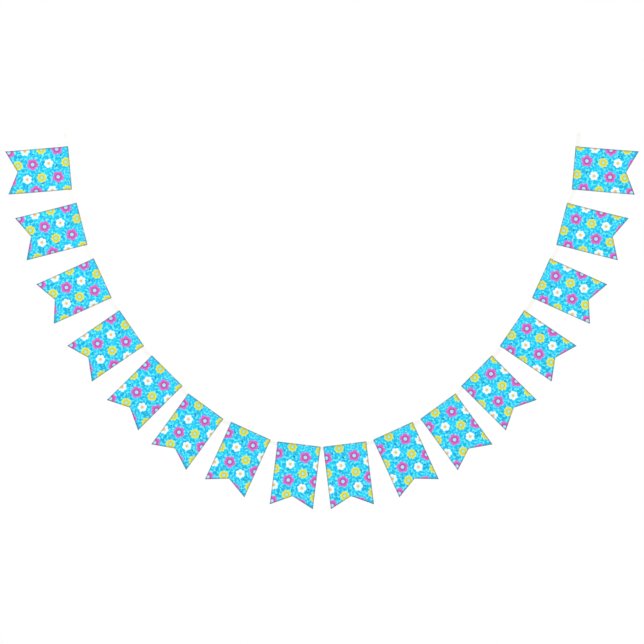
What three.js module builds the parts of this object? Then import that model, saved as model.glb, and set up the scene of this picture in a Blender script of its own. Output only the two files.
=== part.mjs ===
// A bunting of swallowtail cloth flags sewn along one narrow tape, hung in a deep U flat against a wall.
// X runs across, Z runs up and the flags' printed faces look along -Y.
// The origin is the middle of the tape's top edge, on the tape's back face.

import * as THREE from "three";

// Driving sizes in millimetres

const FLAG_WIDTH = 140;
const FLAG_LENGTH = 203;
const NOTCH_DEPTH = 34;
const CLOTH_THICKNESS = 1;

const TAPE_WIDTH = 12;
const TAPE_THICKNESS = 1;
const TAPE_SETBACK = 1;
const TAPE_TAIL = 45;
const SEAM_CLEARANCE = 0.3;

// The seam keeps the head of a flag flat, and the tails of the swallowtail curl from a share of its fall on.
const FLAT_HEAD = 18;
const TIP_CURL_START = 0.45;

// Steps that the curved sheets and the tape's bends are divided into
const CLOTH_COLUMNS = 8;
const CLOTH_ROWS = 10;
const BRIDGE_STEPS = 6;

// How far a bend's handles reach, as a share of the gap between two flags
const BRIDGE_HANDLE = 0.4;

const CLOTH_COLOUR = 0x22bbe8;
const TAPE_COLOUR = 0xf5f4ef;

// One half of the swag, a row for each flag from the middle outwards.
// across and up give the middle of the flag's top edge, and tilt is how far the flag swings out, in degrees.
const HALF_SWAG = [
  { across: 74, up: 10, tilt: 7 },
  { across: 230, up: 53, tilt: 24.5 },
  { across: 376, up: 133, tilt: 36 },
  { across: 501, up: 248, tilt: 45 },
  { across: 616, up: 386, tilt: 55.5 },
  { across: 710, up: 548, tilt: 65.5 },
  { across: 777, up: 724, tilt: 75.5 },
  { across: 816, up: 905, tilt: 85 },
];

// How each flag stands off the wall, a row for each flag from the left end to the right end.
// lean is the reach of its lower end, bow the rise of its middle line, twist the extra reach of its right side,
// and leftTip and rightTip the forward curl of its two tails.
const DRAPE = [
  { lean: 6, bow: 4, twist: 2, leftTip: 4, rightTip: 9 },
  { lean: 4, bow: 6, twist: -3, leftTip: 9, rightTip: 3 },
  { lean: 8, bow: 3, twist: 4, leftTip: 3, rightTip: 6 },
  { lean: 4, bow: 7, twist: -2, leftTip: 6, rightTip: 10 },
  { lean: 6, bow: 5, twist: -4, leftTip: 10, rightTip: 2 },
  { lean: 5, bow: 3, twist: 3, leftTip: 4, rightTip: 8 },
  { lean: 7, bow: 5, twist: 2, leftTip: 7, rightTip: 5 },
  { lean: 4, bow: 7, twist: -3, leftTip: 8, rightTip: 4 },
  { lean: 6, bow: 4, twist: 4, leftTip: 3, rightTip: 9 },
  { lean: 4, bow: 6, twist: -2, leftTip: 8, rightTip: 6 },
  { lean: 8, bow: 3, twist: -3, leftTip: 10, rightTip: 4 },
  { lean: 5, bow: 7, twist: 2, leftTip: 5, rightTip: 8 },
  { lean: 6, bow: 3, twist: 3, leftTip: 2, rightTip: 7 },
  { lean: 4, bow: 5, twist: -4, leftTip: 9, rightTip: 3 },
  { lean: 7, bow: 5, twist: -2, leftTip: 6, rightTip: 10 },
  { lean: 6, bow: 4, twist: 3, leftTip: 4, rightTip: 6 },
];

// The whole swag from the left end to the right end: the left half is the right one mirrored.
// turn is the flag's angle about Y, so that the left flags swing to the left.
function wholeSwag() {
  const right = HALF_SWAG.map(({ across, up, tilt }) => ({
    across,
    up,
    turn: -THREE.MathUtils.degToRad(tilt),
  }));
  const left = right.map(({ across, up, turn }) => ({ across: -across, up, turn: -turn }));
  return [...left.reverse(), ...right];
}

// Length of the flag below its top edge, at side (-1 is the left edge, 1 the right): the notch is a plain V.
function flagFall(side) {
  return FLAG_LENGTH - NOTCH_DEPTH * (1 - Math.abs(side));
}

// How far a flag's cloth stands forward of its seam, at side across it and down below its top edge.
function standOff(drape, side, down) {
  const share = Math.max(0, (down - FLAT_HEAD) / (FLAG_LENGTH - FLAT_HEAD));
  const curl = Math.max(0, (share - TIP_CURL_START) / (1 - TIP_CURL_START));
  const tip = side < 0 ? drape.leftTip : drape.rightTip;
  const lean = (drape.lean + drape.twist * side) * share ** 2;
  const bow = drape.bow * (1 - side ** 2) * THREE.MathUtils.smoothstep(share, 0, 1);
  return lean + bow + tip * Math.abs(side) * curl ** 2;
}

// One flag as a closed sheet, its top edge centred on the origin and its back face on y = 0.
function flagSheet(drape) {
  const points = [];
  const triangles = [];
  const layers = [0, CLOTH_THICKNESS];
  const perRow = CLOTH_COLUMNS + 1;
  const perLayer = perRow * (CLOTH_ROWS + 1);
  const index = (layer, row, column) => layer * perLayer + row * perRow + column;

  const quad = (a, b, c, d) => triangles.push(a, b, c, a, c, d);

  for (const depth of layers) {
    for (let row = 0; row <= CLOTH_ROWS; row += 1) {
      for (let column = 0; column <= CLOTH_COLUMNS; column += 1) {
        const side = (2 * column) / CLOTH_COLUMNS - 1;
        const down = (flagFall(side) * row) / CLOTH_ROWS;
        points.push((side * FLAG_WIDTH) / 2, -depth - standOff(drape, side, down), -down);
      }
    }
  }

  const [back, front] = [0, 1];
  for (let row = 0; row < CLOTH_ROWS; row += 1) {
    for (let column = 0; column < CLOTH_COLUMNS; column += 1) {
      const corners = (layer) => [
        index(layer, row, column),
        index(layer, row + 1, column),
        index(layer, row + 1, column + 1),
        index(layer, row, column + 1),
      ];
      quad(...corners(front));
      quad(...corners(back).reverse());
    }
  }

  // The cut edge, walked round the sheet once, closes the back face to the front face.
  const rim = [];
  for (let row = 0; row < CLOTH_ROWS; row += 1) rim.push([row, 0]);
  for (let column = 0; column < CLOTH_COLUMNS; column += 1) rim.push([CLOTH_ROWS, column]);
  for (let row = CLOTH_ROWS; row > 0; row -= 1) rim.push([row, CLOTH_COLUMNS]);
  for (let column = CLOTH_COLUMNS; column > 0; column -= 1) rim.push([0, column]);
  rim.forEach((here, step) => {
    const next = rim[(step + 1) % rim.length];
    quad(index(front, ...here), index(back, ...here), index(back, ...next), index(front, ...next));
  });

  const geometry = new THREE.BufferGeometry();
  geometry.setAttribute("position", new THREE.Float32BufferAttribute(points, 3));
  geometry.setIndex(triangles);
  geometry.computeVertexNormals();
  return geometry;
}

// The tape's middle line behind one flag's head, from the flag's left edge to its right edge.
function seamLine({ across, up, turn }) {
  const along = new THREE.Vector2(Math.cos(turn), -Math.sin(turn));
  const below = new THREE.Vector2(-Math.sin(turn), -Math.cos(turn));
  const middle = new THREE.Vector2(across, up).addScaledVector(below, TAPE_SETBACK + TAPE_WIDTH / 2);
  return {
    along,
    start: middle.clone().addScaledVector(along, -FLAG_WIDTH / 2),
    end: middle.clone().addScaledVector(along, FLAG_WIDTH / 2),
  };
}

// The tape's middle line from end to end: straight along each seam and tail, and bent between the flags.
function tapeStations(swag) {
  const seams = swag.map(seamLine);
  const first = seams[0];
  const last = seams[seams.length - 1];
  const stations = [
    { point: first.start.clone().addScaledVector(first.along, -TAPE_TAIL), along: first.along },
  ];
  seams.forEach((seam, number) => {
    stations.push({ point: seam.start, along: seam.along }, { point: seam.end, along: seam.along });
    const next = seams[number + 1];
    if (!next) return;
    const handle = BRIDGE_HANDLE * seam.end.distanceTo(next.start);
    const bridge = new THREE.CubicBezierCurve(
      seam.end,
      seam.end.clone().addScaledVector(seam.along, handle),
      next.start.clone().addScaledVector(next.along, -handle),
      next.start,
    );
    for (let step = 1; step < BRIDGE_STEPS; step += 1) {
      const share = step / BRIDGE_STEPS;
      stations.push({ point: bridge.getPoint(share), along: bridge.getTangent(share) });
    }
  });
  stations.push({ point: last.end.clone().addScaledVector(last.along, TAPE_TAIL), along: last.along });
  return stations;
}

// The tape as one flat strip, its back face on y = 0.
function tapeStrip(swag) {
  const stations = tapeStations(swag);
  const edge = (offset) =>
    stations.map(({ point, along }) => {
      const across = new THREE.Vector2(-along.y, along.x);
      return point.clone().addScaledVector(across, offset);
    });
  const outline = new THREE.Shape([...edge(-TAPE_WIDTH / 2), ...edge(TAPE_WIDTH / 2).reverse()]);
  const strip = new THREE.ExtrudeGeometry(outline, { depth: TAPE_THICKNESS, bevelEnabled: false });
  strip.rotateX(Math.PI / 2);
  return strip;
}

function cloth(colour) {
  return new THREE.MeshStandardMaterial({
    color: colour,
    roughness: 0.9,
    metalness: 0,
    side: THREE.DoubleSide,
  });
}

function bunting() {
  const group = new THREE.Group();
  const swag = wholeSwag();

  const tape = new THREE.Mesh(tapeStrip(swag), cloth(TAPE_COLOUR));
  tape.name = "tape";
  group.add(tape);

  swag.forEach(({ across, up, turn }, number) => {
    const flag = new THREE.Mesh(flagSheet(DRAPE[number]), cloth(CLOTH_COLOUR));
    flag.name = `flag_${String(number + 1).padStart(2, "0")}`;
    flag.position.set(across, -TAPE_THICKNESS - SEAM_CLEARANCE, up);
    flag.rotation.y = turn;
    group.add(flag);
  });
  return group;
}

export default bunting();
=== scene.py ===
"""A bunting of printed swallowtail flags, overlocked at their edges and sewn along a narrow white tape.

It hangs in a deep U with its printed faces towards -Y. Sizes are in metres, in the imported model's frame.
"""

import logging
import math
from abc import ABC, abstractmethod
from dataclasses import dataclass
from enum import Enum
from typing import ClassVar, NamedTuple

import bpy
import numpy as np
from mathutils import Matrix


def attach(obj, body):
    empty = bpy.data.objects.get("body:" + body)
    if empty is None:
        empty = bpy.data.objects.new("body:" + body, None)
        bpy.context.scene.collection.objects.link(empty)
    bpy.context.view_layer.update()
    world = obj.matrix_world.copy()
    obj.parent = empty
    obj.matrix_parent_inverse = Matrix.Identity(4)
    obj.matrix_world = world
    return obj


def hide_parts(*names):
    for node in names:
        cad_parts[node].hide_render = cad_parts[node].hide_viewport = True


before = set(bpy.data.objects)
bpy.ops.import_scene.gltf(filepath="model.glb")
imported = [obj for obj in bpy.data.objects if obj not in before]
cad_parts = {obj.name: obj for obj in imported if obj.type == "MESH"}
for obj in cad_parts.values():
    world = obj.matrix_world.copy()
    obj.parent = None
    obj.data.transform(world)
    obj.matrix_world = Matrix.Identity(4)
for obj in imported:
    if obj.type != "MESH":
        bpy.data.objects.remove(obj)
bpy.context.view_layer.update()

LOG = logging.getLogger("bunting")
MM = 0.001
BODY = "root"
GRAIN_MAP = "grain"
CREASE_ANGLE = math.radians(50)

Array = np.ndarray
Socket = bpy.types.NodeSocket
Value = Socket | float | tuple[float, ...]
Colour = tuple[float, float, float, float]


class Slot(Enum):
    """Names of the material slots."""

    FLAG = "flag_cloth"
    TAPE = "tape_cloth"


class End(Enum):
    """The two ends of the tape, as the sign of the way from the tape's middle."""

    LEFT = -1
    RIGHT = 1

    @property
    def last(self) -> int:
        """Which entry of a row from left to right lies at this end."""
        return 0 if self is End.LEFT else -1


class Face(Enum):
    """The two faces of the tape, as the sign of the way that they look, out from the wall or at it."""

    ROOM = 1
    WALL = -1


def dye(red: int, green: int, blue: int) -> Colour:
    """Turns a colour as it looks on a screen into the linear one that shaders use.

    Args:
        red: Red from 0 to 255.
        green: Green from 0 to 255.
        blue: Blue from 0 to 255.

    Returns:
        The linear colour, opaque.
    """
    shares = [channel / 255 for channel in (red, green, blue)]
    linear = [share / 12.92 if share <= 0.04045 else ((share + 0.055) / 1.055) ** 2.4 for share in shares]
    return (*linear, 1.0)


# Node trees


class Wiring:
    """A node tree in the making, with short ways to add its nodes and join them."""

    # Numbers of a Mix node's sockets when it mixes colours
    MIX_FACTOR, MIX_LOW, MIX_HIGH, MIX_RESULT = 0, 6, 7, 2

    def __init__(self, tree: bpy.types.NodeTree) -> None:
        """Keeps the tree that the nodes go into."""
        self.tree = tree

    @classmethod
    def fresh(cls, owner: bpy.types.Material | bpy.types.World) -> "Wiring":
        """Starts the tree of a material or of the surroundings afresh."""
        owner.use_nodes = True
        owner.node_tree.nodes.clear()
        return cls(owner.node_tree)

    def node(self, kind: str, **settings: object) -> bpy.types.Node:
        """Adds a node and sets its options.

        Args:
            kind: Blender's type name of the node.
            **settings: Options of the node by name.

        Returns:
            The new node.
        """
        made = self.tree.nodes.new(kind)
        for name, value in settings.items():
            setattr(made, name, value)
        return made

    def feed(self, socket: Socket, value: Value) -> None:
        """Links an output to a socket, or sets the socket to a plain value."""
        if isinstance(value, bpy.types.NodeSocket):
            self.tree.links.new(value, socket)
        else:
            socket.default_value = value

    def fed(self, kind: str, given: dict[str | int, Value], **settings: object) -> bpy.types.Node:
        """Adds a node, sets its options and feeds its inputs.

        Args:
            kind: Blender's type name of the node.
            given: What goes into its inputs, by their names or numbers.
            **settings: Options of the node by name.

        Returns:
            The new node.
        """
        made = self.node(kind, **settings)
        for place, value in given.items():
            self.feed(made.inputs[place], value)
        return made

    def math(self, operation: str, *values: Value) -> Socket:
        """Gives the result of a Math node."""
        return self.fed("ShaderNodeMath", dict(enumerate(values)), operation=operation).outputs[0]

    def vector(self, operation: str, *values: Value) -> Socket:
        """Gives the vector of a Vector Math node."""
        made = self.fed("ShaderNodeVectorMath", dict(enumerate(values)), operation=operation)
        return made.outputs["Vector"]

    def length(self, vector: Socket) -> Socket:
        """Gives a vector's length."""
        return self.fed("ShaderNodeVectorMath", {0: vector}, operation="LENGTH").outputs["Value"]

    def split(self, vector: Socket) -> tuple[Socket, Socket]:
        """Gives the first two parts of a vector."""
        parts = self.fed("ShaderNodeSeparateXYZ", {0: vector})
        return parts.outputs["X"], parts.outputs["Y"]

    def joined(self, across: Value, down: Value) -> Socket:
        """Makes a vector of two parts."""
        return self.fed("ShaderNodeCombineXYZ", {"X": across, "Y": down}).outputs[0]

    def fade(self, value: Value, start: Value, end: Value) -> Socket:
        """Rises smoothly from 0 where value is start to 1 where it is end."""
        given = {"Value": value, "From Min": start, "From Max": end}
        return self.fed("ShaderNodeMapRange", given, interpolation_type="SMOOTHSTEP").outputs["Result"]

    def blend(self, share: Value, low: Value, high: Value) -> Socket:
        """Mixes two colours, low where share is 0 and high where it is 1."""
        given = {self.MIX_FACTOR: share, self.MIX_LOW: low, self.MIX_HIGH: high}
        return self.fed("ShaderNodeMix", given, data_type="RGBA").outputs[self.MIX_RESULT]

    def noise(self, place: Value, scale: Value, detail: float) -> Socket:
        """Gives soft noise around 0.5, with scale lumps to one unit of place and detail finer layers."""
        given = {"Vector": place, "Scale": scale, "Detail": detail}
        return self.fed("ShaderNodeTexNoise", given, noise_dimensions="3D").outputs["Fac"]

    def wander(self, local: Socket, cell: Socket, reach: float) -> tuple[Socket, Socket]:
        """Moves what a cell holds off the cell's middle, by a fixed draw for each cell.

        Args:
            local: The place as seen from the cell's middle.
            cell: The cell's two numbers.
            reach: How far apart the furthest draws lie.

        Returns:
            A number from 0 to 1 drawn for the cell, and the place as seen from the moved middle.
        """
        drawn = self.fed("ShaderNodeTexWhiteNoise", {"Vector": cell}, noise_dimensions="2D")
        centred = self.vector("SUBTRACT", drawn.outputs["Color"], (0.5, 0.5, 0.5))
        moved = self.vector("SUBTRACT", local, self.vector("MULTIPLY", centred, (reach, reach, reach)))
        return drawn.outputs["Value"], self.vector("MULTIPLY", moved, (1.0, 1.0, 0.0))

    def grain(self) -> Socket:
        """Reads the place on the flat cloth, from the piece's own map."""
        return self.node("ShaderNodeUVMap", uv_map=GRAIN_MAP).outputs["UV"]

    def spot(self) -> Socket:
        """Reads the place in the object's frame."""
        return self.node("ShaderNodeTexCoord").outputs["Object"]


class SharedEffect(ABC):
    """An effect that several materials use, built once as a node group."""

    NAME: ClassVar[str]
    INPUTS: ClassVar[dict[str, str]]
    OUTPUTS: ClassVar[dict[str, str]]

    @abstractmethod
    def wire(self, wiring: Wiring, given: dict[str, Socket]) -> dict[str, Socket]:
        """Makes the effect's nodes.

        Args:
            wiring: The group's tree.
            given: The group's inputs by name.

        Returns:
            What feeds each of the group's outputs, by name.
        """

    def group(self) -> bpy.types.NodeTree:
        """Gives the node group, made the first time that it is asked for."""
        known = bpy.data.node_groups.get(self.NAME)
        if known:
            return known
        tree = bpy.data.node_groups.new(self.NAME, "ShaderNodeTree")
        for way, sockets in (("INPUT", self.INPUTS), ("OUTPUT", self.OUTPUTS)):
            for name, kind in sockets.items():
                tree.interface.new_socket(name, in_out=way, socket_type=f"NodeSocket{kind}")
        wiring = Wiring(tree)
        entry = wiring.node("NodeGroupInput")
        made = self.wire(wiring, {name: entry.outputs[name] for name in self.INPUTS})
        wiring.fed("NodeGroupOutput", made)
        return tree

    def place(self, wiring: Wiring, **values: Value) -> dict[str, Socket]:
        """Puts the effect into a tree, fed with values by name, and gives its outputs by name."""
        made = wiring.fed("ShaderNodeGroup", values, node_tree=self.group())
        return {name: made.outputs[name] for name in self.OUTPUTS}


class PlainWeave(SharedEffect):
    """Threads that pass over and under each other one by one, each a little unlike the next, with painted
    shade where the weave dips.
    """

    NAME = "plain_weave"
    INPUTS = {"Place": "Vector", "Threads": "Float"}
    OUTPUTS = {"Height": "Float", "Shade_and_tone": "Float"}
    SLUB_LENGTH = 0.06
    DARKEST = 0.9

    def wire(self, wiring: Wiring, given: dict[str, Socket]) -> dict[str, Socket]:
        """Makes the weave's height, and a tone with painted shade where it dips and light and dark threads.

        Args:
            wiring: The group's tree.
            given: Place on the cloth, and Threads to one unit of it.

        Returns:
            Height from 0 to 1, and the tone that the cloth's colour is multiplied by: painted shade, darker
            in the weave's hollows, together with random light and dark threads.
        """
        across, down = wiring.split(given["Place"])
        warp = wiring.math("MULTIPLY", across, given["Threads"])
        weft = wiring.math("MULTIPLY", down, given["Threads"])
        odd = wiring.math(
            "FLOORED_MODULO",
            wiring.math("ADD", wiring.math("FLOOR", warp), wiring.math("FLOOR", weft)),
            2.0,
        )
        rounds = [
            wiring.math("ABSOLUTE", wiring.math("SINE", wiring.math("MULTIPLY", way, math.pi)))
            for way in (warp, weft)
        ]
        lengths = [
            wiring.joined(warp, wiring.math("MULTIPLY", weft, self.SLUB_LENGTH)),
            wiring.joined(wiring.math("MULTIPLY", warp, self.SLUB_LENGTH), weft),
        ]
        slubs = [wiring.noise(length, scale=1.0, detail=1.0) for length in lengths]
        height, slub = (
            wiring.math(
                "ADD",
                wiring.math("MULTIPLY", pair[0], odd),
                wiring.math("MULTIPLY", pair[1], wiring.math("SUBTRACT", 1.0, odd)),
            )
            for pair in (rounds, slubs)
        )
        # Painted shade: the colour is darker in the weave's hollows and lighter on its tops, mixed with each
        # thread's own random tone.
        shade_and_slub = wiring.math("MULTIPLY", wiring.math("ADD", slub, height), 0.5)
        shade_and_tone = wiring.math("ADD", self.DARKEST, wiring.math("MULTIPLY", shade_and_slub, 1 - self.DARKEST))
        return {"Height": height, "Shade_and_tone": shade_and_tone}


class HalfDrop(SharedEffect):
    """A half-drop repeat: rows of cells, every second row moved along by half a cell."""

    NAME = "half_drop"
    INPUTS = {"Place": "Vector", "Across": "Float", "Down": "Float", "Shift": "Vector"}
    OUTPUTS = {"Local": "Vector", "Cell": "Vector"}

    def wire(self, wiring: Wiring, given: dict[str, Socket]) -> dict[str, Socket]:
        """Makes the cells.

        Args:
            wiring: The group's tree.
            given: Place on the cloth, Across and Down as a cell's two sizes, and Shift of the whole repeat.

        Returns:
            Local, the place as seen from its cell's middle, and Cell, the cell's two numbers.
        """
        across, down = wiring.split(wiring.vector("SUBTRACT", given["Place"], given["Shift"]))
        rows = wiring.math("DIVIDE", down, given["Down"])
        row = wiring.math("FLOOR", rows)
        half = wiring.math("MULTIPLY", wiring.math("FLOORED_MODULO", row, 2.0), 0.5)
        columns = wiring.math("ADD", wiring.math("DIVIDE", across, given["Across"]), half)
        column = wiring.math("FLOOR", columns)
        middles = [
            wiring.math("MULTIPLY", wiring.math("SUBTRACT", wiring.math("FRACT", way), 0.5), given[size])
            for way, size in ((columns, "Across"), (rows, "Down"))
        ]
        return {"Local": wiring.joined(*middles), "Cell": wiring.joined(column, row)}


class FlowerHead(SharedEffect):
    """One flower seen from above: round petals about an eye, turned and moved a little in each cell."""

    NAME = "flower_head"
    INPUTS = {"Local": "Vector", "Cell": "Vector", "Radius": "Float", "Petals": "Float", "Notch": "Float"}
    OUTPUTS = {"Petal": "Float", "Eye": "Float", "Reach": "Float"}
    WANDER = 0.05
    ROUNDNESS = 0.55
    EYE_SHARE = 0.3
    INK_EDGE = 0.002

    def wire(self, wiring: Wiring, given: dict[str, Socket]) -> dict[str, Socket]:
        """Makes the flower's masks.

        Args:
            wiring: The group's tree.
            given: Local and Cell of a repeat, the flower's Radius, its number of Petals, and Notch, how deep
                the clefts between them go as a share of the radius.

        Returns:
            Petal and Eye as masks, and Reach, the distance from the eye as a share of the radius.
        """
        turn, flat = wiring.wander(given["Local"], given["Cell"], self.WANDER)
        far = wiring.length(flat)
        across, down = wiring.split(flat)
        angle = wiring.math("MULTIPLY_ADD", turn, math.tau, wiring.math("ARCTAN2", down, across))
        swing = wiring.math("MULTIPLY", angle, wiring.math("MULTIPLY", given["Petals"], 0.5))
        lobe = wiring.math("POWER", wiring.math("ABSOLUTE", wiring.math("COSINE", swing)), self.ROUNDNESS)
        cleft = wiring.math("MULTIPLY", given["Notch"], wiring.math("SUBTRACT", 1.0, lobe))
        rim = wiring.math("MULTIPLY", given["Radius"], wiring.math("SUBTRACT", 1.0, cleft))
        eye = wiring.math("MULTIPLY", given["Radius"], self.EYE_SHARE)
        return {
            "Petal": wiring.fade(wiring.math("SUBTRACT", rim, far), -self.INK_EDGE, self.INK_EDGE),
            "Eye": wiring.fade(wiring.math("SUBTRACT", eye, far), -self.INK_EDGE, self.INK_EDGE),
            "Reach": wiring.math("DIVIDE", far, given["Radius"]),
        }


@dataclass(frozen=True)
class Flower:
    """One of the print's flowers, in flag widths.

    Attributes:
        radius: From its middle to a petal's tip.
        petals: Number of petals.
        notch: Depth of the clefts between them, as a share of the radius.
        shift: Its place in the repeat, as shares of a cell.
        inner: Ink beside the eye.
        outer: Ink at the petals' tips.
        eye: Ink of the eye.
    """

    radius: float
    petals: int
    notch: float
    shift: tuple[float, float]
    inner: Colour
    outer: Colour
    eye: Colour


class Motif(Enum):
    """The print's flowers, in the order in which they are printed."""

    PINK = Flower(0.136, 5, 0.32, (0.28, 0.00), dye(186, 64, 160), dye(221, 108, 199), dye(150, 232, 250))
    YELLOW = Flower(0.112, 8, 0.34, (0.78, 1 / 3), dye(205, 195, 38), dye(229, 227, 74), dye(150, 232, 250))
    WHITE = Flower(0.106, 6, 0.34, (0.28, 2 / 3), dye(206, 238, 246), dye(246, 253, 255), dye(250, 190, 84))


class FlowerPrint(SharedEffect):
    """The print: pink, yellow and white flowers and navy specks on a mottled turquoise ground.

    Places are in flag widths. The three flowers share one triangular repeat.
    """

    NAME = "flower_print"
    INPUTS = {"Place": "Vector"}
    OUTPUTS = {"Ink": "Color"}

    CELL = (0.64, 0.555)
    SPECK_CELL = (0.212, 0.185)
    SPECK_SHIFT = (0.05, 0.03, 0.0)
    SPECK_RADIUS = 0.013
    SPECK_EDGE = 0.0015
    SPECK_SHARE = 0.55
    SPECK_WANDER = 0.7
    SPECK_INK = dye(26, 52, 110)
    WASH_SCALE, WASH_DETAIL, WASH_RANGE = 7.0, 3.0, (0.3, 0.65)
    FLECK_SCALE, FLECK_DETAIL, FLECK_RANGE = 19.0, 2.0, (0.48, 0.66)
    PETAL_RANGE = (0.3, 0.8)
    DEEP, MIDDLE, PALE = dye(0, 172, 218), dye(22, 208, 252), dye(118, 244, 255)

    def wire(self, wiring: Wiring, given: dict[str, Socket]) -> dict[str, Socket]:
        """Makes the print.

        Args:
            wiring: The group's tree.
            given: Place on the flag, in flag widths.

        Returns:
            Ink, the printed colour.
        """
        place = given["Place"]
        ink = self.specks(wiring, place, self.ground(wiring, place))
        for motif in Motif:
            ink = self.flower(wiring, place, ink, motif.value)
        return {"Ink": ink}

    def ground(self, wiring: Wiring, place: Socket) -> Socket:
        """Makes the mottled ground.

        Args:
            wiring: The group's tree.
            place: Where on the flag.

        Returns:
            The ground's colour.
        """
        wash = wiring.fade(wiring.noise(place, self.WASH_SCALE, self.WASH_DETAIL), *self.WASH_RANGE)
        fleck = wiring.fade(wiring.noise(place, self.FLECK_SCALE, self.FLECK_DETAIL), *self.FLECK_RANGE)
        return wiring.blend(fleck, wiring.blend(wash, self.DEEP, self.MIDDLE), self.PALE)

    def specks(self, wiring: Wiring, place: Socket, ink: Socket) -> Socket:
        """Scatters small navy specks over the ground.

        Args:
            wiring: The group's tree.
            place: Where on the flag.
            ink: The colour under them.

        Returns:
            The colour with the specks.
        """
        across, down = self.SPECK_CELL
        cells = HalfDrop().place(wiring, Place=place, Across=across, Down=down, Shift=self.SPECK_SHIFT)
        chance, flat = wiring.wander(cells["Local"], cells["Cell"], down * self.SPECK_WANDER)
        near = wiring.math("SUBTRACT", self.SPECK_RADIUS, wiring.length(flat))
        dot = wiring.fade(near, -self.SPECK_EDGE, self.SPECK_EDGE)
        kept = wiring.math("MULTIPLY", dot, wiring.math("LESS_THAN", chance, self.SPECK_SHARE))
        return wiring.blend(kept, ink, self.SPECK_INK)

    def flower(self, wiring: Wiring, place: Socket, ink: Socket, flower: Flower) -> Socket:
        """Prints one flower over what lies under it.

        Args:
            wiring: The group's tree.
            place: Where on the flag.
            ink: The colour under it.
            flower: The flower.

        Returns:
            The colour with the flower.
        """
        across, down = self.CELL
        shift = (flower.shift[0] * across, flower.shift[1] * down, 0.0)
        cells = HalfDrop().place(wiring, Place=place, Across=across, Down=down, Shift=shift)
        head = FlowerHead().place(
            wiring,
            Local=cells["Local"],
            Cell=cells["Cell"],
            Radius=flower.radius,
            Petals=float(flower.petals),
            Notch=flower.notch,
        )
        petal = wiring.blend(wiring.fade(head["Reach"], *self.PETAL_RANGE), flower.inner, flower.outer)
        return wiring.blend(head["Eye"], wiring.blend(head["Petal"], ink, petal), flower.eye)


# Finishes


class Surface(NamedTuple):
    """What a finish feeds to its shader.

    Attributes:
        colour: Its colour.
        relief: Its height from 0 in the hollows to 1 on the tops.
    """

    colour: Socket
    relief: Socket


@dataclass(frozen=True)
class Finish(ABC):
    """A material of the bunting.

    Attributes:
        name: The material's name.
        sheen: Weight of the fuzz that catches light at a low angle.
        shine: Specular level.
        height: Height of its relief.
        matt: Roughness in the hollows of the relief and on its tops.
    """

    name: str
    sheen: float = 0.15
    shine: float = 0.2
    height: float = 0.06 * MM
    matt: tuple[float, float] = (0.96, 0.8)

    @abstractmethod
    def surface(self, wiring: Wiring) -> Surface:
        """Makes the finish's own nodes.

        Args:
            wiring: The material's tree.

        Returns:
            Its colour and relief.
        """

    def material(self) -> bpy.types.Material:
        """Gives the material, made the first time that it is asked for."""
        known = bpy.data.materials.get(self.name)
        if known:
            return known
        made = bpy.data.materials.new(self.name)
        wiring = Wiring.fresh(made)
        surface = self.surface(wiring)
        hollow, top = self.matt
        bump = wiring.fed("ShaderNodeBump", {"Distance": self.height, "Height": surface.relief})
        given = {
            "Base Color": surface.colour,
            "Roughness": wiring.math("MULTIPLY_ADD", surface.relief, top - hollow, hollow),
            "Normal": bump.outputs[0],
            "Sheen Weight": self.sheen,
            "Specular IOR Level": self.shine,
        }
        shader = wiring.fed("ShaderNodeBsdfPrincipled", given)
        wiring.fed("ShaderNodeOutputMaterial", {"Surface": shader.outputs[0]})
        return made


@dataclass(frozen=True)
class Woven(Finish):
    """A cloth in plain weave.

    Attributes:
        threads: Threads to one unit of the piece's own map.
    """

    threads: float = 280.0

    @abstractmethod
    def dyed(self, wiring: Wiring, grain: Socket) -> Value:
        """Makes the cloth's colour.

        Args:
            wiring: The material's tree.
            grain: Where on the flat cloth.

        Returns:
            The colour without the weave's painted shade and thread tone.
        """

    def surface(self, wiring: Wiring) -> Surface:
        """Makes the colour on its weave, darkened by painted shade in the weave's hollows.

        Args:
            wiring: The material's tree.

        Returns:
            Its colour and relief.
        """
        grain = wiring.grain()
        weave = PlainWeave().place(wiring, Place=grain, Threads=self.threads)
        # The weave's painted shade and random thread tone scale the cloth's colour.
        given = {0: self.dyed(wiring, grain), "Scale": weave["Shade_and_tone"]}
        shaded_and_toned = wiring.fed("ShaderNodeVectorMath", given, operation="SCALE")
        return Surface(shaded_and_toned.outputs["Vector"], weave["Height"])


@dataclass(frozen=True)
class PrintedCloth(Woven):
    """The flags' cloth, printed on the front and paler behind where the ink comes through.

    Attributes:
        ink_share: How much of the ink shows.
        bare: Colour of the cloth with no ink.
    """

    ink_share: float = 1.0
    bare: Colour = dye(240, 246, 246)

    def dyed(self, wiring: Wiring, grain: Socket) -> Value:
        """Makes the print, as much of it as shows on this face, with the grain in flag widths."""
        ink = FlowerPrint().place(wiring, Place=grain)["Ink"]
        return ink if self.ink_share == 1.0 else wiring.blend(self.ink_share, self.bare, ink)


@dataclass(frozen=True)
class PlainCloth(Woven):
    """Cloth of one colour.

    Attributes:
        colour: Its colour.
    """

    colour: Colour = dye(242, 242, 238)

    def dyed(self, wiring: Wiring, grain: Socket) -> Value:
        """Gives the one colour."""
        return self.colour[:3]


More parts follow.
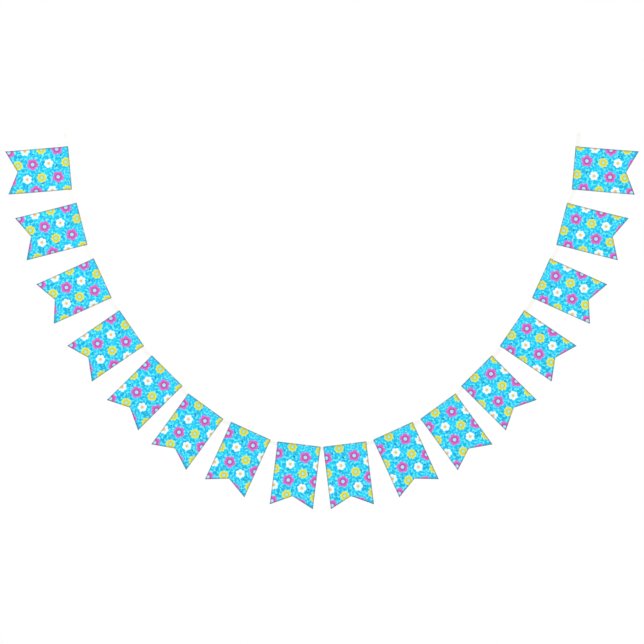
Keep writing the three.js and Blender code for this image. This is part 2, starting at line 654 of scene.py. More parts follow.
@dataclass(frozen=True)
class Thread(Finish):
    """Sewing thread, darker and lighter along its length with painted shade in the hollows of its twist and a
    painted highlight on its tops.

    Attributes:
        dark: Its colour in the hollows of its twist, painted shade.
        light: Its colour on the tops of its twist, a painted highlight where it catches light.
        lumps: Lumps of twist to one metre.
        contrast: Where in a lump its dark ends and its light starts.
    """

    dark: Colour = dye(200, 200, 196)
    light: Colour = dye(250, 250, 247)
    lumps: float = 1400.0
    contrast: tuple[float, float] = (0.3, 0.7)

    def surface(self, wiring: Wiring) -> Surface:
        """Makes the thread's twist, and its colour painted from it: painted shade in the hollows and a
        painted highlight on the tops.
        """
        twist = wiring.noise(wiring.spot(), self.lumps, detail=1.0)
        # Painted shade and highlight: the colour follows the twist's relief, dark in its hollows and light on
        # its tops.
        return Surface(wiring.blend(wiring.fade(twist, *self.contrast), self.dark, self.light), twist)


FRONT = PrintedCloth("flag_printed_front")
BACK = PrintedCloth("flag_pale_back", ink_share=0.42)
WHITE_TAPE = PlainCloth("white_woven_tape", sheen=0.1, height=0.1 * MM, threads=20.0)
# Each thread's dark and light are painted shade and a painted highlight on its own colour.
EDGE_THREAD = Thread("grey_overlock_thread", sheen=0.05, dark=dye(86, 84, 86), light=dye(130, 127, 127))
SEAM_THREAD = Thread("turquoise_seam_thread", sheen=0.05, dark=dye(20, 150, 205), light=dye(80, 206, 240))
TAPE_THREAD = Thread("white_tape_thread", sheen=0.05)


# Shapes


def clear_selection() -> None:
    """Leaves edit mode if need be, and deselects everything."""
    if bpy.context.object and bpy.context.object.mode != "OBJECT":
        bpy.ops.object.mode_set(mode="OBJECT")
    bpy.ops.object.select_all(action="DESELECT")


def activate(piece: bpy.types.Object) -> None:
    """Selects one piece alone and makes it the active one."""
    clear_selection()
    piece.select_set(True)
    bpy.context.view_layer.objects.active = piece


def rename(piece: bpy.types.Object, name: str) -> bpy.types.Object:
    """Names a piece and its mesh, and gives the piece back."""
    piece.name = name
    piece.data.name = name
    return piece


def grid(name: str, columns: int, rows: int) -> bpy.types.Object:
    """Adds a flat grid of one unit by one unit as the start of a sheet.

    Args:
        name: The object's name.
        columns: Cells across.
        rows: Cells down.

    Returns:
        The grid.
    """
    clear_selection()
    bpy.ops.mesh.primitive_grid_add(x_subdivisions=columns, y_subdivisions=rows, size=1)
    return rename(bpy.context.object, name)


def copy_of(pattern: bpy.types.Object, name: str) -> bpy.types.Object:
    """Copies a piece together with its mesh.

    Args:
        pattern: What is copied.
        name: The copy's name.

    Returns:
        The copy.
    """
    activate(pattern)
    bpy.ops.object.duplicate()
    return rename(bpy.context.object, name)


def places(mesh: bpy.types.Mesh) -> Array:
    """Reads a mesh's vertices.

    Args:
        mesh: The mesh.

    Returns:
        Their places, a row for each.
    """
    read = np.empty(len(mesh.vertices) * 3, np.float32)
    mesh.vertices.foreach_get("co", read)
    return read.reshape(-1, 3).astype(float)


def move_to(mesh: bpy.types.Mesh, spots: Array) -> None:
    """Moves a mesh's vertices to the given places, a row for each."""
    mesh.vertices.foreach_set("co", np.ascontiguousarray(spots, np.float32).ravel())
    mesh.update()


def map_grain(mesh: bpy.types.Mesh, grain: Array) -> None:
    """Writes each vertex's place on the flat cloth into the mesh's own map.

    Args:
        mesh: The mesh, whose first map is taken over.
        grain: Two numbers for each vertex.
    """
    layer = mesh.uv_layers[0]
    layer.name = GRAIN_MAP
    corners = np.empty(len(mesh.loops), np.int32)
    mesh.loops.foreach_get("vertex_index", corners)
    layer.data.foreach_set("uv", np.ascontiguousarray(grain[corners], np.float32).ravel())


def thicken(piece: bpy.types.Object, thickness: float, back_slot: int) -> None:
    """Gives a sheet its thickness, half to each side, and smooth shading.

    Args:
        piece: The sheet.
        thickness: Its thickness.
        back_slot: How many material slots further on the back's material is.
    """
    activate(piece)
    shell = piece.modifiers.new("thickness", "SOLIDIFY")
    shell.thickness = thickness
    shell.offset = 0.0
    shell.material_offset = back_slot
    bpy.ops.object.modifier_apply(modifier=shell.name)
    bpy.ops.object.shade_smooth_by_angle(angle=CREASE_ANGLE)


def put_on(piece: bpy.types.Object, slot: Slot, *finishes: Finish) -> None:
    """Dresses a piece and lets it ride on the bunting's body.

    Args:
        piece: The piece.
        slot: Not used.
        *finishes: Its materials in the order of its slots.
    """
    for finish in finishes:
        piece.data.materials.append(finish.material())
    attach(piece, BODY)
    LOG.info("%s: %d faces", piece.name, len(piece.data.polygons))


class Sewing:
    """Many short lengths of thread that become one mesh."""

    SIDES = 4

    def __init__(self) -> None:
        """Starts with no thread."""
        self.vertices: list[Array] = []
        self.faces: list[Array] = []
        self.count = 0

    def add(self, paths: Array, ups: Array, radii: Array) -> None:
        """Adds a thread along each path.

        Args:
            paths: Points of the paths: path, point, place.
            ups: A direction square to each path at each of its points.
            radii: The thread's radius at each point of a path.
        """
        ways = np.gradient(paths, axis=1)
        ways /= np.linalg.norm(ways, axis=2, keepdims=True)
        sides = np.cross(ways, ups)
        sides /= np.linalg.norm(sides, axis=2, keepdims=True)
        tops = np.cross(sides, ways)
        turns = np.arange(self.SIDES) * math.tau / self.SIDES + math.pi / self.SIDES
        wide = radii[None, :, None, None]
        rings = (
            paths[:, :, None, :]
            + wide * np.cos(turns)[None, None, :, None] * tops[:, :, None, :]
            + wide * np.sin(turns)[None, None, :, None] * sides[:, :, None, :]
        )
        number, points = paths.shape[:2]
        ring = np.arange(self.SIDES)
        following = (ring + 1) % self.SIDES
        starts = np.arange(points - 1)[:, None] * self.SIDES
        ends = starts + self.SIDES
        walls = np.stack([starts + ring, starts + following, ends + following, ends + ring], axis=2)
        caps = np.stack([ring[::-1], ring + (points - 1) * self.SIDES])
        one = np.concatenate([walls.reshape(-1, 4), caps])
        offsets = self.count + np.arange(number)[:, None, None] * points * self.SIDES
        self.vertices.append(rings.reshape(-1, 3))
        self.faces.append((one[None] + offsets).reshape(-1, 4))
        self.count += number * points * self.SIDES

    def make(self, name: str) -> bpy.types.Object:
        """Joins the threads into one mesh.

        Args:
            name: The object's name.

        Returns:
            The object.
        """
        mesh = bpy.data.meshes.new(name)
        mesh.from_pydata(np.concatenate(self.vertices).tolist(), [], np.concatenate(self.faces).tolist())
        made = bpy.data.objects.new(name, mesh)
        bpy.context.scene.collection.objects.link(made)
        activate(made)
        bpy.ops.object.mode_set(mode="EDIT")
        bpy.ops.mesh.select_all(action="SELECT")
        bpy.ops.mesh.normals_make_consistent(inside=False)
        bpy.ops.object.mode_set(mode="OBJECT")
        bpy.ops.object.shade_smooth()
        return made


# The swag


@dataclass(frozen=True)
class Place:
    """Where a flag hangs, in millimetres and degrees.

    Attributes:
        across: Middle of its top edge, to the right of the swag's middle.
        up: Middle of its top edge, above the swag's lowest point.
        tilt: How far its lower end swings to the left.
    """

    across: float
    up: float
    tilt: float

    @property
    def head(self) -> Array:
        """Middle of its top edge in metres, as (across, up)."""
        return np.array([self.across, self.up]) * MM

    @property
    def along(self) -> Array:
        """The way to the right along its top edge, as (across, up)."""
        turn = math.radians(self.tilt)
        return np.array([math.cos(turn), -math.sin(turn)])

    @property
    def below(self) -> Array:
        """The way down the flag, as (across, up)."""
        turn = math.radians(self.tilt)
        return np.array([-math.sin(turn), -math.cos(turn)])


@dataclass(frozen=True)
class Drape:
    """How a flag stands off the wall, in millimetres.

    Attributes:
        lean: Reach of its lower end.
        bow: Rise of its middle line.
        twist: Extra reach of its right side.
        left_tip: Forward curl of its left tail.
        right_tip: Forward curl of its right tail.
    """

    lean: float
    bow: float
    twist: float
    left_tip: float
    right_tip: float


RIGHT_HALF = (
    Place(74, 10, -7),
    Place(230, 53, -24.5),
    Place(376, 133, -36),
    Place(501, 248, -45),
    Place(616, 386, -55.5),
    Place(710, 548, -65.5),
    Place(777, 724, -75.5),
    Place(816, 905, -85),
)
LEFT_HALF = tuple(Place(-place.across, place.up, -place.tilt) for place in reversed(RIGHT_HALF))
SWAG = LEFT_HALF + RIGHT_HALF

DRAPES = (
    Drape(6, 4, 2, 4, 9),
    Drape(4, 6, -3, 9, 3),
    Drape(8, 3, 4, 3, 6),
    Drape(4, 7, -2, 6, 10),
    Drape(6, 5, -4, 10, 2),
    Drape(5, 3, 3, 4, 8),
    Drape(7, 5, 2, 7, 5),
    Drape(4, 7, -3, 8, 4),
    Drape(6, 4, 4, 3, 9),
    Drape(4, 6, -2, 8, 6),
    Drape(8, 3, -3, 10, 4),
    Drape(5, 7, 2, 5, 8),
    Drape(6, 3, 3, 2, 7),
    Drape(4, 5, -4, 9, 3),
    Drape(7, 5, -2, 6, 10),
    Drape(6, 4, 3, 4, 6),
)


@dataclass(frozen=True)
class CutSide:
    """One straight side of a flag's cut edge, as (across, down) on the flat cut.

    Attributes:
        start: One end.
        end: The other end, with the cloth on the left hand of the way to it.
    """

    start: Array
    end: Array

    @property
    def length(self) -> float:
        """From start to end."""
        return float(np.linalg.norm(self.end - self.start))

    @property
    def along(self) -> Array:
        """The way from start to end."""
        return (self.end - self.start) / self.length

    @property
    def inward(self) -> Array:
        """The way into the cloth."""
        return np.array([self.along[1], -self.along[0]])

    def steps(self, pitch: float, ends: bool = False) -> Array:
        """Gives even steps along the side.

        Args:
            pitch: About how far apart they are.
            ends: Whether the first and last are the side's ends, or half a step from them.

        Returns:
            The steps, a row for each.
        """
        number = round(self.length / pitch)
        shares = np.linspace(0, 1, number + 1) if ends else (np.arange(number) + 0.5) / number
        return self.start + shares[:, None] * (self.end - self.start)


@dataclass(frozen=True)
class FlagCut:
    """The flat cut that all flags share: a straight head, straight sides and a V notch between two tails.

    Attributes:
        width: Of the flag.
        length: From its head to the tips of its tails.
        notch: Depth of the V.
        thickness: Of the cloth.
        columns: Cells of its mesh across.
        rows: Cells of its mesh down.
    """

    width: float = 140 * MM
    length: float = 203 * MM
    notch: float = 34 * MM
    thickness: float = 0.6 * MM
    columns: int = 48
    rows: int = 70

    @property
    def area(self) -> float:
        """Area of the cloth."""
        return self.width * (self.length - self.notch / 2)

    def fall(self, across: Array) -> Array:
        """Gives the cloth's length below its top edge, at places across it."""
        return self.length - self.notch * (1 - np.abs(across) * 2 / self.width)

    def holds(self, flat: Array) -> Array:
        """Tells which places, as (across, down), lie on the cloth."""
        across, down = flat[..., 0], flat[..., 1]
        return (np.abs(across) <= self.width / 2) & (down >= 0) & (down <= self.fall(across))

    def sides(self) -> list[CutSide]:
        """Gives the straight sides of the cut edge, the cloth always on the same hand."""
        half = self.width / 2
        corners = [
            (-half, 0.0),
            (-half, self.length),
            (0.0, self.length - self.notch),
            (half, self.length),
            (half, 0.0),
        ]
        following = corners[1:] + corners[:1]
        return [CutSide(np.array(start), np.array(end)) for start, end in zip(corners, following)]

    def model(self) -> bpy.types.Object:
        """Models the flat cut once, for the flags to be copied from.

        Returns:
            The cut, with across along X and down along -Y.
        """
        pattern = grid("flag_pattern", self.columns, self.rows)
        unit = places(pattern.data)
        across = unit[:, 0] * self.width
        down = (0.5 - unit[:, 1]) * self.fall(across)
        map_grain(pattern.data, np.stack([across, -down], axis=1) / self.width)
        move_to(pattern.data, np.stack([across, -down, np.zeros_like(down)], axis=1))
        return pattern


@dataclass(frozen=True)
class RunningStitch:
    """Straight stitches in a row, with a gap after each.

    Attributes:
        pitch: From one stitch to the next.
        length: Of a stitch.
        thread: Radius of its thread.
    """

    # A stitch's four points, as shares of its length and of its thread's radius
    POINTS: ClassVar[Array] = np.array([0.0, 0.25, 0.75, 1.0])
    LIFTS: ClassVar[Array] = np.array([-0.7, 0.48, 0.48, -0.7])
    RADII: ClassVar[Array] = np.array([0.7, 1.0, 1.0, 0.7])

    pitch: float = 3.2 * MM
    length: float = 2.5 * MM
    thread: float = 0.2 * MM

    def steps(self, span: float) -> Array:
        """Gives each stitch's points, as distances from the middle of a row that is twice span long."""
        starts = np.arange(-span, span - self.length, self.pitch)
        return starts[:, None] + self.POINTS * self.length

    @property
    def lifts(self) -> Array:
        """How far each point of a stitch lies above the cloth."""
        return self.LIFTS * self.thread

    @property
    def radii(self) -> Array:
        """The thread's radius at each point of a stitch."""
        return self.RADII * self.thread

    def lay(self, sewing: Sewing, flag: "Flag", flat: Array) -> None:
        """Lays stitches on a flag's front.

        Args:
            sewing: What they are added to.
            flag: The flag.
            flat: Their points on the flat cut: stitch, point, (across, down).
        """
        facing = flag.facing(flat)
        lift = flag.cut.thickness / 2 + self.lifts
        sewing.add(flag.spot(flat) + facing * lift[None, :, None], facing, self.radii)


@dataclass(frozen=True)
class Seam:
    """The rows that hold a flag's head to the tape.

    Attributes:
        rows: How far each row lies below the flag's top edge.
        margin: From a row's ends to the flag's sides.
        stitch: Its stitches.
    """

    rows: tuple[float, ...] = (6.5 * MM, 11 * MM)
    margin: float = 5 * MM
    stitch: RunningStitch = RunningStitch()

    def sew(self, flag: "Flag") -> bpy.types.Object:
        """Models the stitches that show on the flag's front.

        Args:
            flag: The flag.

        Returns:
            The stitches.
        """
        sewing = Sewing()
        steps = self.stitch.steps(flag.cut.width / 2 - self.margin)
        for row in self.rows:
            self.stitch.lay(sewing, flag, np.stack([steps, np.full_like(steps, row)], axis=-1))
        return sewing.make(f"{flag.name}_seam")


@dataclass(frozen=True)
class Overlock:
    """Sewing round a cut edge: slanting strokes over both faces, a chain along the cut and a row inside it.

    Attributes:
        pitch: From one stroke to the next.
        reach: How far a stroke reaches into the cloth.
        overhang: How far it stands out past the cut.
        slant: How far its inner end leans along the edge.
        thread: Radius of the strokes' thread.
        chain: Radius of the chain.
        swell: How much thicker and thinner the chain gets, as a share of its radius.
        swell_turn: Turn of that swell from one of its steps to the next, in radians.
        needle: Stitches of the row that holds the strokes' inner ends.
    """

    # A stroke's five points from front to back, as shares of its reach, slant, height and thread
    DEPTHS: ClassVar[Array] = np.array([1.0, 0.12, 0.0, 0.12, 1.0])
    LEANS: ClassVar[Array] = np.array([1.0, 0.1, 0.0, -0.1, -1.0])
    LIFTS: ClassVar[Array] = np.array([0.65, 1.1, 0.0, -1.1, -0.65])
    RADII: ClassVar[Array] = np.array([0.6, 1.0, 1.0, 1.0, 0.6])
    # The point that lies at the cut
    TURN: ClassVar[int] = 2

    pitch: float = 1.1 * MM
    reach: float = 3.5 * MM
    overhang: float = 0.25 * MM
    slant: float = 1.0 * MM
    thread: float = 0.23 * MM
    chain: float = 0.46 * MM
    swell: float = 0.05
    swell_turn: float = 2.4
    needle: RunningStitch = RunningStitch(pitch=2.2 * MM, length=1.9 * MM, thread=0.16 * MM)

    def add_strokes(self, sewing: Sewing, flag: "Flag", side: CutSide) -> None:
        """Wraps strokes of thread round one side, apart from those that a corner leaves no room for.

        Args:
            sewing: What they are added to.
            flag: The flag.
            side: The side of its cut edge.
        """
        skin = (flag.cut.thickness + self.thread) / 2
        depths = self.DEPTHS * self.reach
        depths[self.TURN] = -self.overhang
        leans = np.outer(self.LEANS * self.slant, side.along)
        flat = side.steps(self.pitch)[:, None] + np.outer(depths, side.inward) + leans
        flat = flat[flag.cut.holds(flat[:, 0]) & flag.cut.holds(flat[:, -1])]
        ups = flag.facing(flat) * self.LIFTS[None, :, None]
        paths = flag.spot(flat) + ups * skin
        ups[:, self.TURN] = 2 * paths[:, self.TURN] - paths[:, self.TURN - 1] - paths[:, self.TURN + 1]
        ups /= np.linalg.norm(ups, axis=2, keepdims=True)
        sewing.add(paths, ups, self.thread * self.RADII)

    def add_chain(self, sewing: Sewing, flag: "Flag", side: CutSide) -> None:
        """Lays the chain along one side.

        Args:
            sewing: What it is added to.
            flag: The flag.
            side: The side of its cut edge.
        """
        flat = side.steps(self.pitch * 2, ends=True) + side.inward * self.chain / 4
        radii = self.chain * (1 + self.swell * np.cos(np.arange(len(flat)) * self.swell_turn))
        sewing.add(flag.spot(flat)[None], flag.facing(flat)[None], radii)

    def add_needle_row(self, sewing: Sewing, flag: "Flag", side: CutSide) -> None:
        """Sews the row along one side that holds the strokes' inner ends.

        Args:
            sewing: What it is added to.
            flag: The flag.
            side: The side of its cut edge.
        """
        steps = self.needle.steps(side.length / 2)
        flat = (side.start + side.end) / 2 + side.inward * self.reach + steps[..., None] * side.along
        self.needle.lay(sewing, flag, flat[flag.cut.holds(flat).all(axis=1)])

    def sew(self, flag: "Flag") -> bpy.types.Object:
        """Models the thread round a flag's cut edge.

        Args:
            flag: The flag.

        Returns:
            The thread.
        """
        sewing = Sewing()
        for side in flag.cut.sides():
            self.add_strokes(sewing, flag, side)
            self.add_chain(sewing, flag, side)
            self.add_needle_row(sewing, flag, side)
        return sewing.make(f"{flag.name}_edge")


@dataclass(frozen=True)
class Flag:
    """One swallowtail flag with its overlocked edge and the seam that holds it to the tape.

    Attributes:
        number: Its number from the left end.
        place: Where it hangs.
        drape: How it stands off the wall.
        cut: Its flat cut.
        overlock: Sewing round its edge.
        seam: Sewing along its head.
        off_wall: From the wall to the middle of its cloth, at its head.
        flat_head: How far down its seam keeps it flat.
        curl_start: Share of its length from which its tails curl.
        ripple: Height of the waves along its sides.
        ripple_wave: Length of these waves.
        ripple_shift: How far they move on from one flag to the next, in radians.
        ripple_slant: How far they move on from a flag's middle to its side, in radians.
        ripple_rise: How steeply they grow towards its sides, as a power.
        pucker: Height of the small tucks along its seam.
        pucker_wave: Distance between these tucks.
        pucker_down: How far they fade out above and below the lower seam row.
    """

    # How far to each side the cloth is felt for the way that it faces
    PROBE: ClassVar[float] = 0.5 * MM

    number: int
    place: Place
    drape: Drape
    cut: FlagCut = FlagCut()
    overlock: Overlock = Overlock()
    seam: Seam = Seam()
    off_wall: float = 1.65 * MM
    flat_head: float = 18 * MM
    curl_start: float = 0.45
    ripple: float = 0.55 * MM
    ripple_wave: float = 52 * MM
    ripple_shift: float = 1.9
    ripple_slant: float = 1.3
    ripple_rise: int = 4
    pucker: float = 0.1 * MM
    pucker_wave: float = 7 * MM
    pucker_down: float = 8 * MM

    @property
    def name(self) -> str:
        """The flag's CAD node."""
        return f"flag_{self.number:02d}"

    def stand_off(self, flat: Array) -> Array:
        """Gives how far the cloth stands forward of its seam.

        Args:
            flat: Places on the flat cut, as (across, down).

        Returns:
            The distances.
        """
        across, down = flat[..., 0], flat[..., 1]
        side = across * 2 / self.cut.width
        share = np.clip((down - self.flat_head) / (self.cut.length - self.flat_head), 0, 1)
        curl = np.clip((share - self.curl_start) / (1 - self.curl_start), 0, 1)
        tip = np.where(side < 0, self.drape.left_tip, self.drape.right_tip) * np.abs(side) * curl**2
        lean = (self.drape.lean + self.drape.twist * side) * share**2
        bow = self.drape.bow * (1 - side**2) * share**2 * (3 - 2 * share)
        phase = self.number * self.ripple_shift + self.ripple_slant * side
        wave = np.sin(math.tau * down / self.ripple_wave + phase)
        ripple = self.ripple * np.abs(side) ** self.ripple_rise * share * wave
        tucks = np.sin(math.tau * across / self.pucker_wave + self.number)
        pucker = self.pucker * tucks * np.exp(-(((down - self.seam.rows[-1]) / self.pucker_down) ** 2))
        return (lean + bow + tip) * MM + ripple + pucker

    def spot(self, flat: Array) -> Array:
        """Gives the places in the frame of points of the flat cut, on the cloth's middle layer."""
        level = self.place.head + flat[..., :1] * self.place.along + flat[..., 1:] * self.place.below
        return np.stack([level[..., 0], -self.off_wall - self.stand_off(flat), level[..., 1]], axis=-1)

    def facing(self, flat: Array) -> Array:
        """Gives the ways that the printed face looks.

        Args:
            flat: Places on the flat cut, as (across, down).

        Returns:
            Directions of length 1.
        """
        across, down = np.eye(2) * self.PROBE
        right = self.spot(flat + across) - self.spot(flat - across)
        below = self.spot(flat + down) - self.spot(flat - down)
        out = np.cross(below, right)
        return out / np.linalg.norm(out, axis=-1, keepdims=True)

    def hang_cloth(self, pattern: bpy.types.Object) -> bpy.types.Object:
        """Copies the flat cut and hangs the copy in its folds.

        Args:
            pattern: The flat cut.

        Returns:
            The cloth, with the print in front and the pale side behind.
        """
        cloth = copy_of(pattern, f"{self.name}_cloth")
        flat = places(cloth.data)[:, :2] * np.array([1.0, -1.0])
        move_to(cloth.data, self.spot(flat))
        put_on(cloth, Slot.FLAG, FRONT, BACK)
        thicken(cloth, self.cut.thickness, 1)
        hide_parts(self.name)
        return cloth

    def build(self, pattern: bpy.types.Object) -> None:
        """Builds the flag from the flat cut."""
        cloth = self.hang_cloth(pattern)
        edge = self.overlock.sew(self)
        seam = self.seam.sew(self)
        put_on(edge, Slot.FLAG, EDGE_THREAD)
        put_on(seam, Slot.FLAG, SEAM_THREAD)
        self.cut.length
        self.cut.area


@dataclass(frozen=True)
class Tape:
    """The white tape behind the flags' heads, with a folded end on each tail and the seams' back stitches.

    Attributes:
        swag: The flags' places from the left end to the right end.
        flag: The flags' flat cut.
        seam: The seam along the flags' heads.
        hem: Stitches across the folded ends.
        hem_rows: How far in from an end each row of them lies.
        hem_span: Half the length of these rows.
        width: Of the tape.
        setback: From a flag's top edge down to the tape's.
        tail: Length of the tape past the last flag.
        thickness: Of the tape.
        off_wall: From the wall to the middle of its cloth.
        bend: How far a bend's handles reach, as a share of the gap between two flags.
        bend_cells: Least number of cells in a bend.
        step: About how long a cell of its mesh is.
        columns: Cells of its mesh across.
        fold: Length of a folded end.
        fold_lift: From the middle of the cloth to that of the fold in front of it.
        fold_steps: Cells of its mesh round the fold.
        fold_cells: Cells of its mesh along the folded end.
        selvedge: How far its two edges stand forward.
        selvedge_rise: How steeply they rise, as a power.
    """

    # Points of its line that are closer together than this count as one
    SAME_SPOT: ClassVar[float] = 0.001 * MM

    swag: tuple[Place, ...]
    flag: FlagCut = FlagCut()
    seam: Seam = Seam()
    hem: RunningStitch = RunningStitch(pitch=2.2 * MM, length=1.8 * MM)
    hem_rows: tuple[float, ...] = (3 * MM, 7.5 * MM)
    hem_span: float = 4.4 * MM
    width: float = 12 * MM
    setback: float = 1 * MM
    tail: float = 45 * MM
    thickness: float = 0.6 * MM
    off_wall: float = 0.6 * MM
    bend: float = 0.4
    bend_cells: int = 4
    step: float = 4 * MM
    columns: int = 8
    fold: float = 10 * MM
    fold_lift: float = 0.66 * MM
    fold_steps: int = 6
    fold_cells: int = 3
    selvedge: float = 0.1 * MM
    selvedge_rise: int = 8

    def seam_ends(self, place: Place) -> Array:
        """Gives the two ends, as (across, up), of the tape's middle line behind one flag's head."""
        middle = place.head + place.below * (self.setback + self.width / 2)
        return middle + np.outer([-0.5, 0.5], place.along) * self.flag.width

    def tip(self, end: End) -> Array:
        """Gives the middle of one end of the hung tape, as (across, up)."""
        place = self.swag[end.last]
        return self.seam_ends(place)[end.last] + place.along * end.value * self.tail

    def straight(self, start: Array, end: Array) -> Array:
        """Gives points along a straight stretch, its ends among them."""
        steps = max(1, int(np.linalg.norm(end - start) / self.step))
        return start + np.linspace(0, 1, steps + 1)[:, None] * (end - start)

    def bridge(self, left: Place, right: Place) -> Array:
        """Bends the tape from one flag to the next.

        Args:
            left: Where the bend starts.
            right: Where it ends.

        Returns:
            Points of the bend without its ends, a row for each.
        """
        start, end = self.seam_ends(left)[1], self.seam_ends(right)[0]
        gap = np.linalg.norm(end - start)
        one, two = start + left.along * gap * self.bend, end - right.along * gap * self.bend
        share = np.linspace(0, 1, max(self.bend_cells, int(gap / self.step)) + 1)[1:-1, None]
        rest = 1 - share
        return rest**3 * start + 3 * rest**2 * share * one + 3 * rest * share**2 * two + share**3 * end

    def line(self) -> Array:
        """Gives the tape's middle line from end to end.

        Returns:
            Its points as (across, up), a row for each.
        """
        first, last = self.seam_ends(self.swag[0])[0], self.seam_ends(self.swag[-1])[1]
        runs = [self.straight(self.tip(End.LEFT), first), self.straight(*self.seam_ends(self.swag[0]))]
        for left, right in zip(self.swag, self.swag[1:]):
            runs += [self.bridge(left, right), self.straight(*self.seam_ends(right))]
        points = np.concatenate([*runs, self.straight(last, self.tip(End.RIGHT))])
        apart = np.linalg.norm(np.diff(points, axis=0), axis=1) > self.SAME_SPOT
        return points[np.concatenate([[True], apart])]

    def folded(self, line: Array) -> tuple[Array, Array]:
        """Turns the tape's two ends over onto its front.

        Args:
            line: The tape's middle line.

        Returns:
            The line with the folds, and how far forward of the wall each of its points lies.
        """
        off = np.full(len(line), self.off_wall)
        angles = np.linspace(0, math.pi, self.fold_steps + 1)[1:]
        radius = self.fold_lift / 2
        flat = np.linspace(0, self.fold, self.fold_cells + 1)[1:]
        out = np.concatenate([np.sin(angles) * radius, -flat])
        lift = np.concatenate([radius * (1 - np.cos(angles)), np.full(len(flat), self.fold_lift)])
        for end in End:
            place = self.swag[end.last]
            extra = self.tip(end) + np.outer(out * end.value, place.along)
            lines, offs = [line, extra], [off, self.off_wall + lift]
            if end is End.LEFT:
                lines, offs = [extra[::-1], line], [offs[1][::-1], off]
            line, off = np.concatenate(lines), np.concatenate(offs)
        return line, off

    def make_strip(self) -> tuple[bpy.types.Object, float]:
        """Models the tape as one strip.

        Returns:
            The strip, and its length before its ends were folded.
        """
        hung = self.line()
        line, off = self.folded(hung)
        turned = (len(line) - len(hung)) // 2 + 1
        ways = np.gradient(line, axis=0)
        ways[:turned], ways[-turned:] = self.swag[0].along, self.swag[-1].along
        ways /= np.linalg.norm(ways, axis=1, keepdims=True)
        across = np.stack([-ways[:, 1], ways[:, 0]], axis=1)
        steps = np.linalg.norm(np.diff(np.column_stack([line, off]), axis=0), axis=1)
        run = np.concatenate([[0.0], np.cumsum(steps)])

        strip = grid("tape_strip", len(line) - 1, self.columns)
        unit = places(strip.data)
        station = np.rint((unit[:, 0] + 0.5) * (len(line) - 1)).astype(int)
        point = line[station] + across[station] * unit[:, 1:2] * self.width
        edge = self.selvedge * np.clip(np.abs(unit[:, 1]) * 2, 0, 1) ** self.selvedge_rise
        map_grain(strip.data, np.stack([run[station] / self.width, unit[:, 1]], axis=1))
        move_to(strip.data, np.stack([point[:, 0], -(off[station] + edge), point[:, 1]], axis=1))
        put_on(strip, Slot.TAPE, WHITE_TAPE)
        thicken(strip, self.thickness, 0)
        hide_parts("tape")
        return strip, float(run[-1])

    def add_row(
        self, sewing: Sewing, stitch: RunningStitch, span: float, middle: Array, way: Array, face: Face
    ) -> None:
        """Sews one row of stitches on the tape.

        Args:
            sewing: What they are added to.
            stitch: The kind of stitch.
            span: Half the length of the row.
            middle: Middle of the row, as (across, up).
            way: Direction of the row, as (across, up).
            face: The face that they lie on.
        """
        front = self.off_wall + self.fold_lift + self.thickness / 2
        level = front if face is Face.ROOM else self.off_wall - self.thickness / 2
        steps = stitch.steps(span)
        flat = middle + steps[..., None] * way
        depth = np.broadcast_to(-level - face.value * stitch.lifts, steps.shape)
        paths = np.stack([flat[..., 0], depth, flat[..., 1]], axis=-1)
        sewing.add(paths, np.broadcast_to([0.0, -face.value, 0.0], paths.shape), stitch.radii)

    def make_stitches(self) -> bpy.types.Object:
        """Models the white stitches: the seams' rows on the tape's back, and the rows across its folded ends.

        Returns:
            The stitches.
        """
        sewing = Sewing()
        span = self.flag.width / 2 - self.seam.margin
        for place in self.swag:
            for row in self.seam.rows:
                middle = place.head + place.below * row
                self.add_row(sewing, self.seam.stitch, span, middle, place.along, Face.WALL)
        for end in End:
            place = self.swag[end.last]
            for inward in self.hem_rows:
                middle = self.tip(end) - place.along * end.value * inward
                self.add_row(sewing, self.hem, self.hem_span, middle, place.below, Face.ROOM)
        return sewing.make("tape_stitches")

    def build(self) -> None:
        """Builds the tape and its stitches."""
        strip, length = self.make_strip()
        stitches = self.make_stitches()
        put_on(stitches, Slot.TAPE, TAPE_THREAD)


# The studio


@dataclass(frozen=True)
class Softbox:
    """A square area light.

    Attributes:
        name: Its name.
        spot: Where it stands.
        power: Its power in watts.
        side: Its size.
    """

    name: str
    spot: tuple[float, float, float]
    power: float
    side: float = 2.6


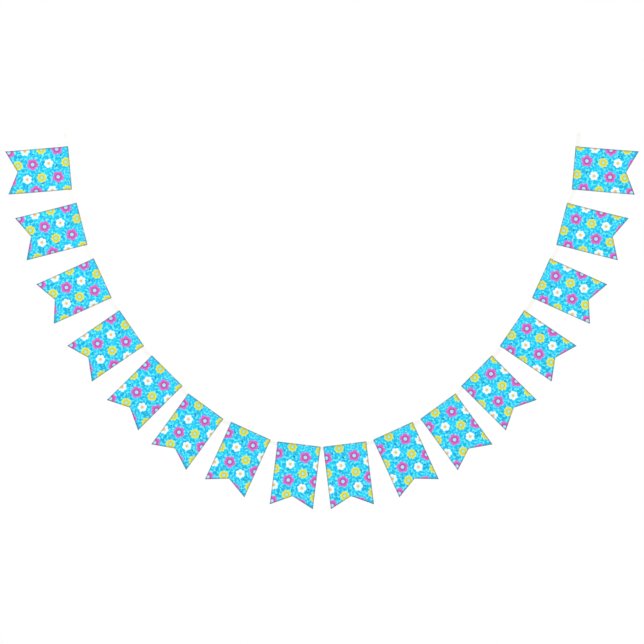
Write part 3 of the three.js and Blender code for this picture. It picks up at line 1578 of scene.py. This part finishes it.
@dataclass(frozen=True)
class Studio:
    """A pale floor, soft white light and a camera square to the swag.

    Attributes:
        aim: What the camera and the lights look at.
        view_width: Width of what the camera sees there.
        lens: Its focal length in millimetres.
        sensor: Its sensor's width in millimetres.
        floor_level: Height of the floor.
        floor_radius: Its radius.
        floor_sides: Number of straight sides that make its rim.
        floor_fade: Where it starts to fade out, and where it is gone.
        floor_colour: Its colour.
        sky_light: How strongly the white surroundings light the swag.
        softboxes: The lights.
    """

    aim: tuple[float, float, float] = (0.0004, -0.008, 0.4056)
    view_width: float = 2.084
    lens: float = 100.0
    sensor: float = 36.0
    floor_level: float = -1.1
    floor_radius: float = 4.0
    floor_sides: int = 64
    floor_fade: tuple[float, float] = (0.6, 2.4)
    floor_colour: Colour = dye(236, 236, 234)
    sky_light: float = 0.62
    softboxes: tuple[Softbox, ...] = (
        Softbox("key", (-2.6, -4.2, 3.2), 150.0),
        Softbox("fill", (3.4, -3.6, 1.2), 60.0),
        Softbox("behind", (1.6, 4.2, 2.8), 150.0),
    )

    def make_camera(self) -> None:
        """Sets the camera square to the swag, far off behind a long lens."""
        clear_selection()
        x, y, z = self.aim
        away = self.view_width * self.lens / self.sensor
        bpy.ops.object.camera_add(location=(x, y - away, z), rotation=(math.pi / 2, 0.0, 0.0))
        camera = bpy.context.object
        camera.data.lens = self.lens
        camera.data.sensor_width = self.sensor
        bpy.context.scene.camera = camera

    def make_surroundings(self) -> None:
        """Makes white surroundings that light the swag softly from all round."""
        world = bpy.data.worlds.new("white_room")
        bpy.context.scene.world = world
        wiring = Wiring.fresh(world)
        seen = wiring.node("ShaderNodeLightPath").outputs["Is Camera Ray"]
        strength = wiring.math("MULTIPLY_ADD", seen, 1.0 - self.sky_light, self.sky_light)
        sky = wiring.fed("ShaderNodeBackground", {"Color": (1.0, 1.0, 1.0, 1.0), "Strength": strength})
        wiring.fed("ShaderNodeOutputWorld", {"Surface": sky.outputs[0]})

    def make_lights(self) -> None:
        """Sets up the softboxes, each turned to the swag."""
        for box in self.softboxes:
            clear_selection()
            right, back, up = np.array(self.aim) - np.array(box.spot)
            turn = (math.atan2(math.hypot(right, back), -up), 0.0, math.atan2(-right, back))
            bpy.ops.object.light_add(type="AREA", location=box.spot, rotation=turn)
            lamp = bpy.context.object
            lamp.name = f"softbox_{box.name}"
            lamp.data.size = box.side
            lamp.data.energy = box.power

    def floor_material(self) -> bpy.types.Material:
        """Makes the floor's material, which fades out away from the middle.

        Returns:
            The material.
        """
        made = bpy.data.materials.new("pale_floor")
        wiring = Wiring.fresh(made)
        far = wiring.length(wiring.vector("MULTIPLY", wiring.spot(), (1.0, 1.0, 0.0)))
        matt = wiring.fed("ShaderNodeBsdfDiffuse", {"Color": self.floor_colour})
        gone = wiring.node("ShaderNodeBsdfTransparent")
        given = {0: wiring.fade(far, *self.floor_fade), 1: matt.outputs[0], 2: gone.outputs[0]}
        mixed = wiring.fed("ShaderNodeMixShader", given)
        wiring.fed("ShaderNodeOutputMaterial", {"Surface": mixed.outputs[0]})
        return made

    def make_floor(self) -> None:
        """Makes the floor, a pale round sheet well below the swag."""
        clear_selection()
        bpy.ops.mesh.primitive_circle_add(
            vertices=self.floor_sides,
            radius=self.floor_radius,
            fill_type="NGON",
            location=(0, 0, self.floor_level),
        )
        floor = rename(bpy.context.object, "floor")
        bpy.ops.object.transform_apply(location=True)
        floor.data.materials.append(self.floor_material())

    def build(self) -> None:
        """Builds the studio."""
        self.make_camera()
        self.make_surroundings()
        self.make_lights()
        self.make_floor()
        bpy.context.scene.view_settings.view_transform = "Standard"


def main() -> None:
    """Builds the studio, the flags and the tape."""
    logging.basicConfig(level=logging.INFO, format="%(name)s: %(message)s")
    Studio().build()
    pattern = FlagCut().model()
    for number, (place, drape) in enumerate(zip(SWAG, DRAPES), start=1):
        Flag(number, place, drape).build(pattern)
    activate(pattern)
    bpy.ops.object.delete()
    Tape(SWAG).build()
    clear_selection()


if __name__ == "__main__":
    main()
